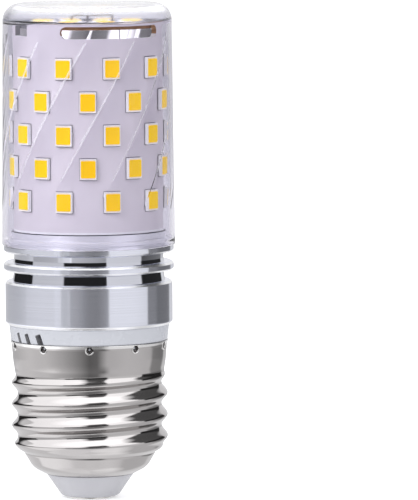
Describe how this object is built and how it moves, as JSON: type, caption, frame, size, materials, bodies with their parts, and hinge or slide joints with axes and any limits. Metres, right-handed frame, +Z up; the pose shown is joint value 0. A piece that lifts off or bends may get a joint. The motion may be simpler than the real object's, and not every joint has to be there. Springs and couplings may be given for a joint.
{
  "type": "corn led bulb",
  "caption": "Cylindrical LED bulb: rows of LED packages on a rolled board under a clear cup, a grooved aluminium ring, a white neck and an Edison screw base",
  "frame": {"origin": "middle of the centre contact's face, at the bottom of the screw base", "axes": "+Z runs up the bulb from the contact to the clear cover's top, -Y is the side that the picture shows"},
  "size_m": [0.0292, 0.0292, 0.0835],
  "materials": {
    "clear_plastic": "clear, polished, water-white",
    "board_mask": "white solder mask, satin",
    "led_body": "white moulded packages, satin",
    "led_phosphor": "warm yellow phosphor gel, smooth",
    "turned_aluminium": "turned and polished",
    "nickel_shell": "nickel plated, rolled, bright",
    "white_plastic": "moulded, satin gloss",
    "insulator_plastic": "moulded, smooth",
    "contact_metal": "nickel plated",
    "driver_laminate": "green solder mask",
    "component_black": "moulded epoxy, matte",
    "capacitor_sleeve": "shrink sleeve",
    "film_yellow": "cast case",
    "ferrite": "sintered ferrite",
    "fuse_case": "flameproof lacquer",
    "lead_insulation_red": "insulated lead",
    "lead_insulation_black": "insulated lead",
    "solder": "solder, bright"
  },
  "bodies": {
    "root": {"aluminium_ring": "turned_aluminium", "bridge_rectifier": "component_black", "centre_contact": "contact_metal", "chip_resistors": "component_black", "clear_cover": "clear_plastic", "driver_board": "driver_laminate", "driver_chip": "component_black", "driver_housing": "white_plastic", "electrolytic_capacitor": "capacitor_sleeve", "film_capacitor": "film_yellow", "fuse_resistor": "fuse_case", "insulator": "insulator_plastic", "led_row_1": "led_body", "led_row_2": "led_body", "led_row_3": "led_body", "led_row_4": "led_body", "led_row_5": "led_body", "led_windows_1": "led_phosphor", "led_windows_2": "led_phosphor", "led_windows_3": "led_phosphor", "led_windows_4": "led_phosphor", "led_windows_5": "led_phosphor", "led_wire_negative": "lead_insulation_black", "led_wire_positive": "lead_insulation_red", "live_wire": "lead_insulation_red", "neutral_wire": "lead_insulation_black", "power_inductor": "ferrite", "screw_shell": "nickel_shell", "side_board": "board_mask", "top_board": "board_mask", "top_led_windows": "led_phosphor", "top_leds": "led_body", "top_solder_joints": "solder"}
  },
  "joints": []
}
